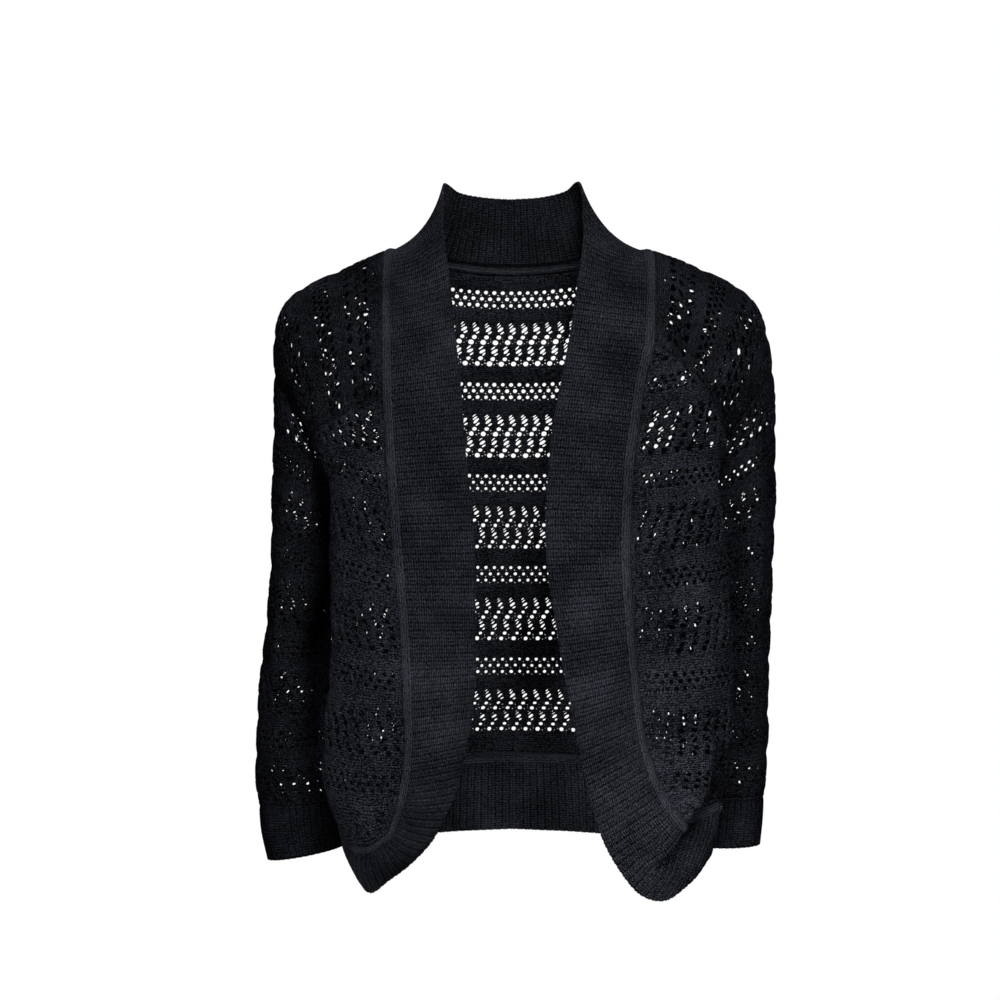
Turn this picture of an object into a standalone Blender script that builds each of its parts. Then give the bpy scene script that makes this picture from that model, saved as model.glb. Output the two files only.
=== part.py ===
"""Open-front cardigan in pointelle knit, worn open with the sleeves hanging empty.

Eight knitted pieces, each one closed wall: the back, two fronts, two saddle sleeves that run on
over the shoulder to the neck, two rib cuffs and one rib band that goes right round the opening.

Lengths in the tables are millimetres from a point between the two neck edges: x to the wearer's
left, y to the back, z up. The finished part is moved so that its origin is the place on the
inside of the back neck where the wearer holds it up.
"""

import math
from collections import namedtuple

import bpy
import numpy as np

# ---------------------------------------------------------------- driving dimensions, mm
MM = 0.001
ORIGIN = np.array((0.0, 78.0, -30.0))   # inside of the band at the centre of the back neck
PANEL_WALL = 1.8                        # lace knit
RIB_WALL = 2.6                          # rib band and cuffs
RIB_STAND = 0.4                         # how far the rib stands out from the lace beside it
CORD_WIDTH = 8.0                        # linking seam that runs along the band like a cord
CORD_RISE = 2.4
SEAM_GAP = 0.34                         # between two pieces at a seam
RIDGE_Y = 12.0                          # depth of the line along the top of the shoulder
PINCHED_BELOW = 0.6                     # cosine below which two pieces lie back to back at a seam
MITRE_LIMIT = 0.25                      # keeps the mitre of a sharp corner in a border short
SAME_PLACE = 0.01                       # points nearer than this are one

# ---------------------------------------------------------------- how finely each piece is cut
STEPS_PER_LEVEL = 2                     # rows between two levels of the body and shoulder tables
TUBE_STEPS = 1                          # rows between two levels of the sleeve tube tables
FRONT_COLUMNS = 8
HALF_BACK_COLUMNS = 8
HALF_SLEEVE_COLUMNS = 8
BAND_COLUMNS = (0.0, 0.45, 1.0 - CORD_WIDTH / 72.0, 1.0 - 0.5 * CORD_WIDTH / 72.0, 1.0)
CUFF_STEPS = 1

# ---------------------------------------------------------------- tables
# Saddle and armhole: one row from the neck band out to the underarm, where the two seams meet.
# ridge: top of the shoulder; front, back: the raglan seams; spare: depth beyond the seams.
Shoulder = namedtuple("Shoulder", "ridge_x ridge_z front_x front_y front_z back_x back_y back_z spare")

SHOULDER = {
    "left": (
        Shoulder(130.5, -51.0, 127.5, -76.0, -140.0, 72.0, 80.0, -56.0, 0.0),
        Shoulder(160.0, -62.5, 147.5, -78.0, -155.0, 98.0, 92.0, -84.0, 0.0),
        Shoulder(188.0, -74.5, 164.0, -76.0, -169.0, 123.0, 99.0, -118.0, 0.0),
        Shoulder(211.0, -87.0, 175.0, -71.0, -184.0, 145.0, 100.0, -152.0, 0.0),
        Shoulder(227.0, -106.0, 184.0, -62.0, -204.0, 159.0, 93.0, -184.0, 1.0),
        Shoulder(235.0, -131.0, 188.0, -49.0, -225.0, 167.0, 75.0, -214.0, 7.0),
        Shoulder(239.5, -160.0, 178.0, -28.0, -246.0, 168.0, 46.0, -242.0, 14.0),
        Shoulder(242.0, -200.0, 169.0, 10.0, -260.0, 169.0, 10.0, -260.0, 56.0),
    ),
    "right": (
        Shoulder(-117.0, -51.0, -114.5, -92.0, -190.0, -70.0, 80.0, -56.0, 0.0),
        Shoulder(-149.0, -66.0, -134.0, -92.0, -200.0, -96.0, 92.0, -84.0, 0.0),
        Shoulder(-177.0, -78.0, -155.0, -86.0, -208.0, -120.0, 99.0, -118.0, 0.0),
        Shoulder(-199.0, -90.5, -171.0, -76.0, -216.0, -139.0, 100.0, -152.0, 0.0),
        Shoulder(-212.0, -108.0, -178.0, -62.0, -226.0, -150.0, 93.0, -186.0, 1.0),
        Shoulder(-217.5, -132.0, -175.0, -48.0, -236.5, -154.0, 75.0, -216.0, 7.0),
        Shoulder(-217.5, -165.0, -161.0, -27.0, -248.5, -153.0, 46.0, -244.0, 14.0),
        Shoulder(-217.5, -205.0, -153.0, 10.0, -262.0, -153.0, 10.0, -262.0, 56.0),
    ),
}

# Sleeve below the underarm, hanging empty: rings by their outermost and innermost points.
Ring = namedtuple("Ring", "outer_x outer_z inner_x inner_z centre_y half_depth")

SLEEVE_TUBE = {
    "left": (
        Ring(242.0, -250.0, 176.0, -289.0, 14.0, 57.0),
        Ring(242.5, -300.0, 176.5, -326.0, 16.0, 57.5),
        Ring(241.0, -345.0, 176.0, -362.0, 18.0, 57.0),
        Ring(240.0, -395.0, 175.5, -404.0, 20.0, 56.0),
        Ring(238.0, -445.0, 175.0, -451.0, 22.0, 54.0),
        Ring(237.0, -492.0, 172.5, -495.0, 24.0, 51.0),
        Ring(235.0, -526.0, 169.0, -528.0, 26.0, 47.0),
        Ring(233.0, -552.0, 165.0, -552.0, 27.0, 42.0),
    ),
    "right": (
        Ring(-219.5, -250.0, -162.0, -292.0, 14.0, 56.0),
        Ring(-220.5, -300.0, -166.0, -328.0, 16.0, 57.5),
        Ring(-222.0, -345.0, -167.5, -364.0, 18.0, 57.0),
        Ring(-226.0, -395.0, -168.5, -404.0, 20.0, 57.0),
        Ring(-231.5, -445.0, -168.5, -450.0, 22.0, 55.0),
        Ring(-235.0, -502.0, -167.5, -503.0, 24.0, 52.0),
        Ring(-235.5, -538.0, -166.0, -538.0, 25.0, 47.0),
        Ring(-233.0, -560.0, -162.0, -558.0, 26.0, 42.0),
    ),
}

CUFF = {
    "left": (
        Ring(233.0, -552.0, 165.0, -552.0, 27.0, 42.0),
        Ring(232.0, -575.0, 162.0, -575.0, 27.5, 41.0),
        Ring(229.5, -599.0, 159.0, -599.0, 28.0, 40.0),
    ),
    "right": (
        Ring(-233.0, -560.0, -162.0, -558.0, 26.0, 42.0),
        Ring(-231.0, -586.0, -159.0, -579.0, 26.5, 41.0),
        Ring(-225.0, -613.0, -156.0, -600.0, 27.0, 40.0),
    ),
}

# Fronts: one row from the point where saddle, front and band meet down to the hem seam.
# edge: on the band seam; breast, fold, tuck: across the panel to the side; sag: how far it
# hangs below the straight line to the side.
Front = namedtuple("Front", "edge_x edge_y edge_z breast_x breast_y fold_x fold_y tuck_x tuck_y sag")

FRONT = {
    "left": (
        Front(127.5, -76.0, -140.0, 127.5, -76.0, 127.5, -76.0, 127.5, -76.0, 0.0),
        Front(122.0, -84.0, -160.0, 130.0, -83.5, 138.0, -82.0, 143.0, -80.0, 0.0),
        Front(117.0, -92.0, -182.0, 133.0, -90.5, 149.0, -86.5, 159.0, -81.5, 0.0),
        Front(114.5, -98.0, -200.0, 136.0, -97.0, 158.0, -90.5, 171.0, -81.0, 1.0),
        Front(111.5, -104.0, -220.0, 137.0, -103.0, 164.0, -94.0, 180.0, -79.0, 2.0),
        Front(108.0, -110.0, -242.0, 138.0, -108.0, 173.0, -95.0, 190.0, -72.0, 3.0),
        Front(106.5, -114.5, -264.0, 139.0, -112.0, 179.0, -93.0, 184.0, -66.0, 3.0),
        Front(105.0, -117.5, -290.0, 141.0, -115.0, 182.0, -91.0, 172.0, -55.0, 3.0),
        Front(104.0, -119.0, -330.0, 145.0, -117.0, 187.0, -87.0, 178.0, -45.0, 4.0),
        Front(107.0, -120.0, -385.0, 148.0, -119.0, 192.0, -86.0, 178.0, -39.0, 5.0),
        Front(111.5, -120.0, -440.0, 150.0, -121.0, 194.0, -88.0, 179.0, -38.0, 6.0),
        Front(117.5, -119.0, -487.0, 153.0, -122.0, 193.0, -90.0, 178.0, -38.0, 7.0),
        Front(133.5, -117.0, -538.0, 160.0, -118.0, 192.0, -85.0, 179.0, -39.0, 5.0),
        Front(151.0, -104.0, -577.0, 168.0, -88.0, 187.0, -60.0, 178.0, -24.0, 0.0),
    ),
    "right": (
        Front(-114.5, -92.0, -190.0, -114.5, -92.0, -114.5, -92.0, -114.5, -92.0, 0.0),
        Front(-113.8, -96.0, -203.0, -121.0, -96.0, -128.0, -95.0, -132.0, -93.5, 0.0),
        Front(-112.8, -101.0, -217.0, -125.0, -100.5, -138.0, -97.0, -148.5, -91.5, 0.0),
        Front(-111.8, -105.0, -231.0, -127.0, -104.5, -145.0, -98.0, -160.5, -88.0, 1.0),
        Front(-110.8, -109.0, -247.0, -129.0, -108.0, -151.0, -99.0, -168.0, -82.0, 1.0),
        Front(-109.5, -112.0, -264.0, -130.0, -111.0, -156.0, -98.0, -171.0, -74.0, 3.0),
        Front(-108.2, -115.0, -282.0, -132.0, -113.0, -158.0, -95.0, -167.0, -62.0, 2.0),
        Front(-106.6, -117.0, -302.0, -132.0, -114.0, -158.0, -91.0, -154.0, -53.0, 3.0),
        Front(-103.2, -118.0, -338.0, -131.0, -115.0, -158.0, -89.0, -161.0, -48.0, 3.0),
        Front(-98.0, -119.0, -398.0, -129.0, -118.0, -158.0, -92.0, -162.0, -47.0, 3.0),
        Front(-95.7, -120.0, -450.0, -130.0, -121.0, -160.0, -96.0, -165.0, -48.0, 4.0),
        Front(-94.3, -121.0, -500.0, -130.0, -124.0, -163.0, -99.0, -168.0, -49.0, 6.0),
        Front(-100.0, -121.0, -542.0, -128.0, -124.0, -160.0, -101.0, -167.0, -51.0, 10.0),
        Front(-109.0, -115.0, -572.0, -126.0, -103.0, -146.0, -74.0, -156.0, -34.0, 30.0),
    ),
}
ACROSS = (0.0, 0.3, 0.62, 0.85, 1.0)     # where edge, breast, fold, tuck and side lie on the way down
SAG_SHARE = (0.0, 0.7, 1.0, 0.5, 0.0)

# Side seams below the underarm, level with the rows of the fronts and the back.
Side = namedtuple("Side", "x y z")

SIDE = {
    "left": (Side(154.0, 10.0, -300.0), Side(153.0, 10.0, -360.0), Side(153.5, 10.0, -420.0),
             Side(155.0, 11.0, -472.0), Side(155.0, 12.0, -516.0), Side(156.0, 14.0, -538.0)),
    "right": (Side(-145.5, 8.0, -304.0), Side(-145.5, 7.0, -365.0), Side(-145.5, 8.0, -424.0),
              Side(-146.0, 9.0, -476.0), Side(-145.0, 11.0, -520.0), Side(-145.0, 14.0, -545.0)),
}

# Back: its middle line, and how far round its arc reaches the seam on each side.
Back = namedtuple("Back", "centre_y centre_z sweep_degrees")

BACK = (
    Back(96.0, -63.0, 45.0),
    Back(103.0, -94.0, 50.0),
    Back(109.0, -129.0, 56.0),
    Back(113.5, -164.0, 62.0),
    Back(116.5, -199.0, 70.0),
    Back(118.0, -232.0, 75.0),
    Back(118.5, -258.0, 78.0),
    Back(118.5, -280.0, 80.0),
    Back(117.5, -322.0, 84.0),
    Back(115.0, -375.0, 88.0),
    Back(114.0, -428.0, 90.0),
    Back(117.0, -474.0, 90.0),
    Back(122.0, -508.0, 90.0),
    Back(119.0, -524.0, 90.0),
)

# Free edge of the rib band. Each row stands opposite a place on the band's seam, given by the
# seam's stretch and the share of that stretch; bulge is how far the rib rounds out between.
Edge = namedtuple("Edge", "stretch share x y z bulge")

BAND_EDGE = {
    "left": (
        Edge("neck", 0.0, 0.0, 68.0, 4.0, -2.0),
        Edge("neck", 0.5, 28.0, 63.0, 5.5, -3.0),
        Edge("neck", 1.0, 50.0, 47.0, 9.0, -5.0),
        Edge("saddle", 0.2, 63.0, 22.0, 15.0, -9.0),
        Edge("saddle", 0.5, 66.0, 0.0, -22.0, -10.0),
        Edge("saddle", 0.62, 65.5, -17.0, -44.0, -8.0),
        Edge("saddle", 0.825, 59.0, -45.0, -87.0, -4.0),
        Edge("front", 0.02, 50.5, -80.0, -139.0, 0.0),
        Edge("front", 0.183, 37.0, -107.0, -209.0, 2.0),
        Edge("front", 0.293, 31.0, -117.0, -262.0, 3.0),
        Edge("front", 0.43, 30.0, -122.0, -328.0, 4.0),
        Edge("front", 0.57, 40.0, -122.0, -400.0, 4.0),
        Edge("front", 0.7, 53.0, -120.0, -468.0, 5.0),
        Edge("front", 0.817, 66.5, -117.0, -532.0, 6.0),
        Edge("front", 0.915, 82.0, -113.0, -584.0, 6.0),
        Edge("front", 0.985, 112.0, -107.0, -627.0, 5.0),
        Edge("hem", 0.18, 135.0, -98.0, -634.5, 4.0),
        Edge("hem", 0.42, 164.0, -77.0, -616.0, 4.0),
        Edge("hem", 0.62, 180.0, -50.0, -598.0, 3.0),
        Edge("hem", 0.82, 166.0, -18.0, -598.0, 3.0),
        Edge("hem", 1.0, 149.0, 16.0, -602.0, 3.0),
        Edge("back", 0.45, 112.0, 84.0, -600.0, 3.0),
        Edge("back", 0.72, 61.0, 105.0, -598.0, 3.0),
        Edge("back", 1.0, 0.0, 111.0, -596.0, 3.0),
    ),
    "right": (
        Edge("neck", 0.0, 0.0, 68.0, 4.0, -2.0),
        Edge("neck", 0.5, -28.0, 63.0, 5.5, -3.0),
        Edge("neck", 1.0, -49.0, 47.0, 8.0, -5.0),
        Edge("saddle", 0.18, -62.5, 22.0, 13.5, -9.0),
        Edge("saddle", 0.38, -63.0, 2.0, -13.0, -10.0),
        Edge("saddle", 0.5, -62.0, -14.0, -38.0, -9.0),
        Edge("saddle", 0.67, -56.0, -42.0, -81.0, -4.0),
        Edge("saddle", 0.86, -50.0, -80.0, -137.0, -1.0),
        Edge("front", 0.012, -44.5, -104.0, -186.0, 1.0),
        Edge("front", 0.142, -40.5, -113.0, -238.0, 2.0),
        Edge("front", 0.322, -33.5, -120.0, -310.0, 3.0),
        Edge("front", 0.53, -32.0, -121.0, -392.0, 3.0),
        Edge("front", 0.69, -32.5, -117.0, -448.0, 4.0),
        Edge("front", 0.82, -39.0, -110.0, -494.0, 5.0),
        Edge("front", 0.905, -47.5, -102.0, -530.0, 6.0),
        Edge("front", 0.985, -70.5, -90.0, -582.0, 7.0),
        Edge("hem", 0.1, -108.5, -68.0, -620.0, 7.0),
        Edge("hem", 0.22, -128.0, -55.0, -633.0, 6.0),
        Edge("hem", 0.4, -142.0, -34.0, -612.0, 5.0),
        Edge("hem", 0.7, -144.0, -4.0, -598.0, 4.0),
        Edge("hem", 1.0, -137.0, 22.0, -600.0, 3.0),
        Edge("back", 0.45, -106.0, 84.0, -600.0, 3.0),
        Edge("back", 0.72, -58.0, 105.0, -598.0, 3.0),
        Edge("back", 1.0, 0.0, 111.0, -596.0, 3.0),
    ),
}

# Largest creases: soft troughs about a line from start to end, pushed by the vector.
Crease = namedtuple("Crease", "start end push radius")

CREASES = (
    Crease((154.0, -112.0, -566.0), (186.0, -96.0, -500.0), (-2.0, 14.0, 0.0), 11.0),
    Crease((186.0, -52.0, -330.0), (200.0, -40.0, -520.0), (-3.0, 6.0, 0.0), 9.0),
    Crease((-182.0, -46.0, -300.0), (-190.0, -40.0, -500.0), (2.0, 9.0, 0.0), 11.0),
    Crease((-140.0, -116.0, -330.0), (-132.0, -124.0, -470.0), (0.0, 6.0, 0.0), 10.0),
)

# Materials: colour, roughness.
KNIT_COLOURS = {
    "lace": ((0.0086, 0.0095, 0.0120), 0.88),
    "sleeve_lace": ((0.0080, 0.0088, 0.0110), 0.88),
    "rib": ((0.0110, 0.0120, 0.0145), 0.85),
}
SHEEN_WEIGHT = 0.35


# ---------------------------------------------------------------- curves
def smooth(points, place):
    """Point on the smooth line through the points, where place counts points from 0."""
    last = len(points) - 1
    first = min(int(place), last - 1)
    share = place - first
    inner = [np.asarray(points[first], float), np.asarray(points[first + 1], float)]
    before = np.asarray(points[first - 1], float) if first else 2 * inner[0] - inner[1]
    after = np.asarray(points[first + 2], float) if first + 2 <= last else 2 * inner[1] - inner[0]
    run = [before, inner[0], inner[1], after]
    knots = [0.0]
    for here, there in zip(run, run[1:]):
        knots.append(knots[-1] + max(math.sqrt(np.linalg.norm(there - here)), 0.05))
    at = knots[1] + share * (knots[2] - knots[1])

    def between(low, high, left, right):
        return ((knots[high] - at) * left + (at - knots[low]) * right) / (knots[high] - knots[low])

    steps = [between(n, n + 1, run[n], run[n + 1]) for n in range(3)]
    bends = [between(n, n + 2, steps[n], steps[n + 1]) for n in range(2)]
    return between(1, 2, bends[0], bends[1])


def crease(point):
    """The point moved into the creases that pass near it."""
    moved = np.array(point, float)
    for fold in CREASES:
        start = np.array(fold.start)
        along = np.array(fold.end) - start
        share = np.clip(np.dot(point - start, along) / np.dot(along, along), 0.0, 1.0)
        away = np.linalg.norm(point - start - share * along)
        moved += np.array(fold.push) * math.exp(-(away / fold.radius) ** 2)
    return moved


# ---------------------------------------------------------------- where each piece's surface runs
def underarm_level(side):
    return len(SHOULDER[side]) - 1


def shoulder_row(side, place):
    """Ridge, front seam, back seam and spare depth at a place on the shoulder table."""
    table = SHOULDER[side]
    ridge = smooth([(row.ridge_x, RIDGE_Y, row.ridge_z) for row in table], place)
    front = smooth([(row.front_x, row.front_y, row.front_z) for row in table], place)
    back = smooth([(row.back_x, row.back_y, row.back_z) for row in table], place)
    first = min(int(place), len(table) - 2)
    share = place - first
    spare = (1 - share) * table[first].spare + share * table[first + 1].spare
    return ridge, front, back, spare


def arch(ridge, front, back, spare, steps):
    """Points over the shoulder from the front seam by the ridge to the back seam."""
    points = []
    for seam, facing in ((front, -1.0), (back, 1.0)):
        reach = (seam[1] - ridge[1]) * facing
        depth = reach + spare
        end = math.pi - math.asin(min(reach / depth, 1.0))
        drop = (ridge - seam) / (1 - math.cos(end))
        half = []
        for step in range(steps + 1):
            angle = end * step / steps
            point = ridge + drop * (math.cos(angle) - 1)
            point[1] = ridge[1] + facing * depth * math.sin(angle)
            half.append(point)
        points.append(half)
    return points[0][::-1] + points[1][1:]


def ring(row, steps):
    """Points round a closed ring from its inner point by the front, outer point and back."""
    outer = np.array((row[0], row[4], row[1]))
    inner = np.array((row[2], row[4], row[3]))
    return arch(outer, inner, inner, row[5], steps)


def side_point(side, place):
    """Side seam below the underarm, level with the rows of the body tables."""
    under = SHOULDER[side][-1]
    points = [(under.front_x, under.front_y, under.front_z)] + [tuple(row) for row in SIDE[side]]
    return smooth(points, place - underarm_level(side))


def front_outer_point(side, place):
    if place <= underarm_level(side):
        return shoulder_row(side, place)[1]
    return side_point(side, place)


def back_outer_point(side, place):
    if place <= underarm_level(side):
        return shoulder_row(side, place)[2]
    return side_point(side, place)


def front_row(side, place, columns):
    """Points across a front from the band seam to the raglan or side seam."""
    table = FRONT[side]
    edge = smooth([(row.edge_x, row.edge_y, row.edge_z) for row in table], place)
    outer = front_outer_point(side, place)
    spots = [smooth([(getattr(row, name + "_x"), getattr(row, name + "_y"), row.sag) for row in table], place)
             for name in ("breast", "fold", "tuck")]
    controls = [edge]
    for spot, down, share in zip(spots, ACROSS[1:4], SAG_SHARE[1:4]):
        height = edge[2] + down * (outer[2] - edge[2]) - share * spot[2]
        controls.append(np.array((spot[0], spot[1], height)))
    controls.append(outer)
    if place == 0:
        return [edge] * (columns + 1)
    return [smooth(controls, 4.0 * column / columns) for column in range(columns + 1)]


def back_row(place, half_columns):
    """Points across the back from the right seam to the left seam."""
    centre_y, centre_z, sweep = smooth([tuple(row) for row in BACK], place)
    sweep = math.radians(min(sweep, 90.0))
    halves = []
    for side in ("right", "left"):
        outer = back_outer_point(side, place)
        half = []
        for column in range(half_columns + 1):
            angle = sweep * column / half_columns
            bend = (1 - math.cos(angle)) / (1 - math.cos(sweep))
            half.append(np.array((outer[0] * math.sin(angle) / math.sin(sweep),
                                  centre_y + (outer[1] - centre_y) * bend,
                                  centre_z + (outer[2] - centre_z) * bend)))
        halves.append(half)
    return halves[0][::-1] + halves[1][1:]


def places(levels, steps):
    return [level / steps for level in range(levels * steps + 1)]


def front_grid(side):
    rows = places(len(FRONT[side]) - 1, STEPS_PER_LEVEL)
    return [front_row(side, place, FRONT_COLUMNS) for place in rows]


def back_grid():
    rows = places(len(BACK) - 1, STEPS_PER_LEVEL)
    return [back_row(place, HALF_BACK_COLUMNS) for place in rows]


def sleeve_grid(side):
    """Open arches down to the underarm, then closed rings down to the cuff seam."""
    rows = []
    for place in places(underarm_level(side), STEPS_PER_LEVEL):
        rows.append(arch(*shoulder_row(side, place), HALF_SLEEVE_COLUMNS))
    under = SHOULDER[side][-1]
    top = (under.ridge_x, under.ridge_z, under.front_x, under.front_z, RIDGE_Y, under.spare)
    table = [top] + [tuple(row) for row in SLEEVE_TUBE[side]]
    for place in places(len(SLEEVE_TUBE[side]), TUBE_STEPS)[1:]:
        rows.append(ring(smooth(table, place), HALF_SLEEVE_COLUMNS))
    return rows


def cuff_grid(side):
    table = [tuple(row) for row in CUFF[side]]
    return [ring(smooth(table, place), HALF_SLEEVE_COLUMNS) for place in places(len(table) - 1, CUFF_STEPS)]


# ---------------------------------------------------------------- the rib band
def band_seam(side, front, back, sleeve):
    """The band's seam on one side, from the centre of the neck round to the centre of the hem."""
    half = HALF_BACK_COLUMNS
    turn = 1 if side == "left" else -1
    return {
        "neck": [back[0][half + turn * step] for step in range(half + 1)],
        "saddle": sleeve[0][::-1],
        "front": [row[0] for row in front],
        "hem": front[-1],
        "back": [back[-1][half + turn * step] for step in range(half, -1, -1)],
    }


def along(points):
    """Share of the line's length at each of its points."""
    steps = [np.linalg.norm(there - here) for here, there in zip(points, points[1:])]
    return np.concatenate(((0.0,), np.cumsum(steps))) / sum(steps)


def band_half(side, seam):
    """Seam point, free edge point and bulge for each place along one side of the band."""
    order = ("neck", "saddle", "front", "hem", "back")
    anchors = [order.index(row.stretch) + row.share for row in BAND_EDGE[side]]
    edge = [(row.x, row.y, row.z) for row in BAND_EDGE[side]]
    bulge = [row.bulge for row in BAND_EDGE[side]]
    rows = []
    for number, stretch in enumerate(order):
        for share, point in zip(along(seam[stretch]), seam[stretch]):
            at = number + share
            index = min(int(np.searchsorted(anchors, at, side="right")) - 1, len(anchors) - 2)
            place = index + (at - anchors[index]) / (anchors[index + 1] - anchors[index])
            rows.append((point, smooth(edge, place), float(np.interp(at, anchors, bulge))))
    kept = [rows[0]]
    for row in rows[1:]:
        if np.linalg.norm(row[0] - kept[-1][0]) > SAME_PLACE:
            kept.append(row)
    return kept


def band_grid(fronts, back, sleeves):
    """Rows of points across the band, right round the opening, first row repeated last."""
    left = band_half("left", band_seam("left", fronts["left"], back, sleeves["left"]))
    right = band_half("right", band_seam("right", fronts["right"], back, sleeves["right"]))
    rows = []
    stations = left + right[-2::-1]
    for number, (seam, edge, bulge) in enumerate(stations):
        before = stations[number - 1][0] if number else stations[-2][0]
        after = stations[(number + 1) % len(stations)][0] if number + 1 < len(stations) else stations[1][0]
        out = np.cross(after - before, seam - edge)
        out /= np.linalg.norm(out)
        rows.append([edge + share * (seam - edge) + out * bulge * 4 * share * (1 - share)
                     for share in BAND_COLUMNS])
    return rows


# ---------------------------------------------------------------- from surfaces to walls
def key(point):
    return tuple(int(round(value * 1000)) for value in point)


class Sheet:
    """A surface of triangles whose equal points are one, seen counter-clockwise from outside."""

    def __init__(self, grid, flip, stand=None):
        self.points = []
        self.index = {}
        self.faces = []
        self.stand = {}
        for row, below in zip(grid, grid[1:]):
            for column in range(len(row) - 1):
                corners = [row[column], below[column], below[column + 1], row[column + 1]]
                self.add(corners[:3], flip)
                self.add([corners[0], corners[2], corners[3]], flip)
        if stand:
            for row in grid:
                for point, height in zip(row, stand):
                    self.stand[self.index[key(point)]] = height

    def number(self, point):
        name = key(point)
        if name not in self.index:
            self.index[name] = len(self.points)
            self.points.append(np.array(point, float))
        return self.index[name]

    def add(self, corners, flip):
        face = [self.number(corner) for corner in corners]
        if len(set(face)) == 3:
            self.faces.append(tuple(face[::-1]) if flip else tuple(face))

    def face_normal(self, face):
        first, second, third = (self.points[corner] for corner in face)
        return np.cross(second - first, third - first)

    def normals(self):
        """Outward direction at each point."""
        total = [np.zeros(3) for _ in self.points]
        for face in self.faces:
            normal = self.face_normal(face)
            for corner in face:
                total[corner] += normal
        return [normal / np.linalg.norm(normal) for normal in total]

    def border(self):
        """The next point along the border for each border point."""
        edges = {(face[n], face[(n + 1) % 3]) for face in self.faces for n in range(3)}
        return {start: end for start, end in edges if (end, start) not in edges}


def shared_normals(sheets):
    """One outward direction for each place, midway between those of the pieces that meet there."""
    total = {}
    for sheet in sheets:
        for point, normal in zip(sheet.points, sheet.normals()):
            total[key(point)] = total.get(key(point), 0) + normal
    return {name: normal / max(np.linalg.norm(normal), 1e-9) for name, normal in total.items()}


def wall_directions(sheet, shared):
    """Outward direction at each point, and whether it lies in a pinched seam.

    In a pinched seam, such as the underarm, the two pieces lie nearly back to back, so each wall
    keeps its own direction there.
    """
    directions = []
    pinched = []
    for point, own in zip(sheet.points, sheet.normals()):
        middle = shared[key(point)]
        is_pinched = np.dot(own, middle) < PINCHED_BELOW
        pinched.append(is_pinched)
        directions.append(own if is_pinched else middle)
    return directions, pinched


def draw_back(sheet, directions):
    """How far each border point moves into its own piece, to leave the gap at the seams."""
    after = sheet.border()
    before = {end: start for start, end in after.items()}
    moves = {}
    for corner, following in after.items():
        out = directions[corner]
        inward = []
        for start, end in ((before[corner], corner), (corner, following)):
            run = sheet.points[end] - sheet.points[start]
            run -= out * np.dot(run, out)
            across = np.cross(out, run)
            inward.append(across / np.linalg.norm(across))
        spread = max(1 + np.dot(inward[0], inward[1]), MITRE_LIMIT)
        moves[corner] = (inward[0] + inward[1]) * (0.5 * SEAM_GAP / spread)
    return moves


def build_wall(name, sheet, shared, wall, material, stand=0.0):
    """One closed wall: the sheet, the same sheet moved in by the wall, and its rim."""
    directions, pinched = wall_directions(sheet, shared)
    moves = draw_back(sheet, directions)
    outer = []
    inner = []
    for number, point in enumerate(sheet.points):
        out = directions[number]
        place = point + moves.get(number, 0.0)
        if pinched[number]:
            place = place - out * 0.5 * SEAM_GAP
        outer.append(place + out * (stand + sheet.stand.get(number, 0.0)))
        inner.append(place - out * (wall - stand))
    count = len(outer)
    faces = list(sheet.faces)
    faces += [tuple(corner + count for corner in face[::-1]) for face in sheet.faces]
    for start, end in sheet.border().items():
        faces.append((end, start, start + count))
        faces.append((end, start + count, end + count))
    vertices = [tuple((point - ORIGIN) * MM) for point in outer + inner]
    mesh = bpy.data.meshes.new(name)
    mesh.from_pydata(vertices, [], faces)
    mesh.update()
    mesh.materials.append(material)
    part = bpy.data.objects.new(name, mesh)
    bpy.context.collection.objects.link(part)
    return part


# ---------------------------------------------------------------- materials
def knit_material(name, slot):
    colour, roughness = KNIT_COLOURS[slot]
    material = bpy.data.materials.new(name)
    material.use_nodes = True
    shader = material.node_tree.nodes["Principled BSDF"]
    shader.inputs["Base Color"].default_value = (*colour, 1.0)
    shader.inputs["Roughness"].default_value = roughness
    shader.inputs["Metallic"].default_value = 0.0
    shader.inputs["Sheen Weight"].default_value = SHEEN_WEIGHT
    material.diffuse_color = (*colour, 1.0)
    return material


# ---------------------------------------------------------------- the cardigan
def creased(grid):
    return [[crease(point) for point in row] for row in grid]


def main():
    for item in list(bpy.data.objects):
        bpy.data.objects.remove(item, do_unlink=True)

    sides = ("left", "right")
    fronts = {side: creased(front_grid(side)) for side in sides}
    sleeves = {side: creased(sleeve_grid(side)) for side in sides}
    cuffs = {side: creased(cuff_grid(side)) for side in sides}
    back = creased(back_grid())
    band = band_grid(fronts, back, sleeves)

    cord = (0.0, 0.0, 0.0, CORD_RISE, 0.0)
    pieces = {"back_panel": (Sheet(back, True), PANEL_WALL, "lace", 0.0),
              "rib_band": (Sheet(band, False, cord), RIB_WALL, "rib", RIB_STAND)}
    for side in sides:
        flip = side == "right"
        pieces["front_" + side] = (Sheet(fronts[side], flip), PANEL_WALL, "lace", 0.0)
        pieces["sleeve_" + side] = (Sheet(sleeves[side], flip), PANEL_WALL, "sleeve_lace", 0.0)
        pieces["cuff_" + side] = (Sheet(cuffs[side], flip), RIB_WALL, "rib", RIB_STAND)

    shared = shared_normals([piece[0] for piece in pieces.values()])
    for name, (sheet, wall, slot, stand) in pieces.items():
        build_wall(name, sheet, shared, wall, knit_material(name, slot), stand)


main()
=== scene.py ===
"""Open-front cardigan in black pointelle knit, worn open with the sleeves hanging empty.

Each knitted piece is rebuilt on its solid's own surface: the back, two fronts and two saddle
sleeves in lace with real eyelets, two rib cuffs, and one rib band that goes round the opening.
Lengths are millimetres, but metres where a note says so: x to the wearer's left, y to the back,
z up. Left and right are the wearer's.
"""

import math

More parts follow.
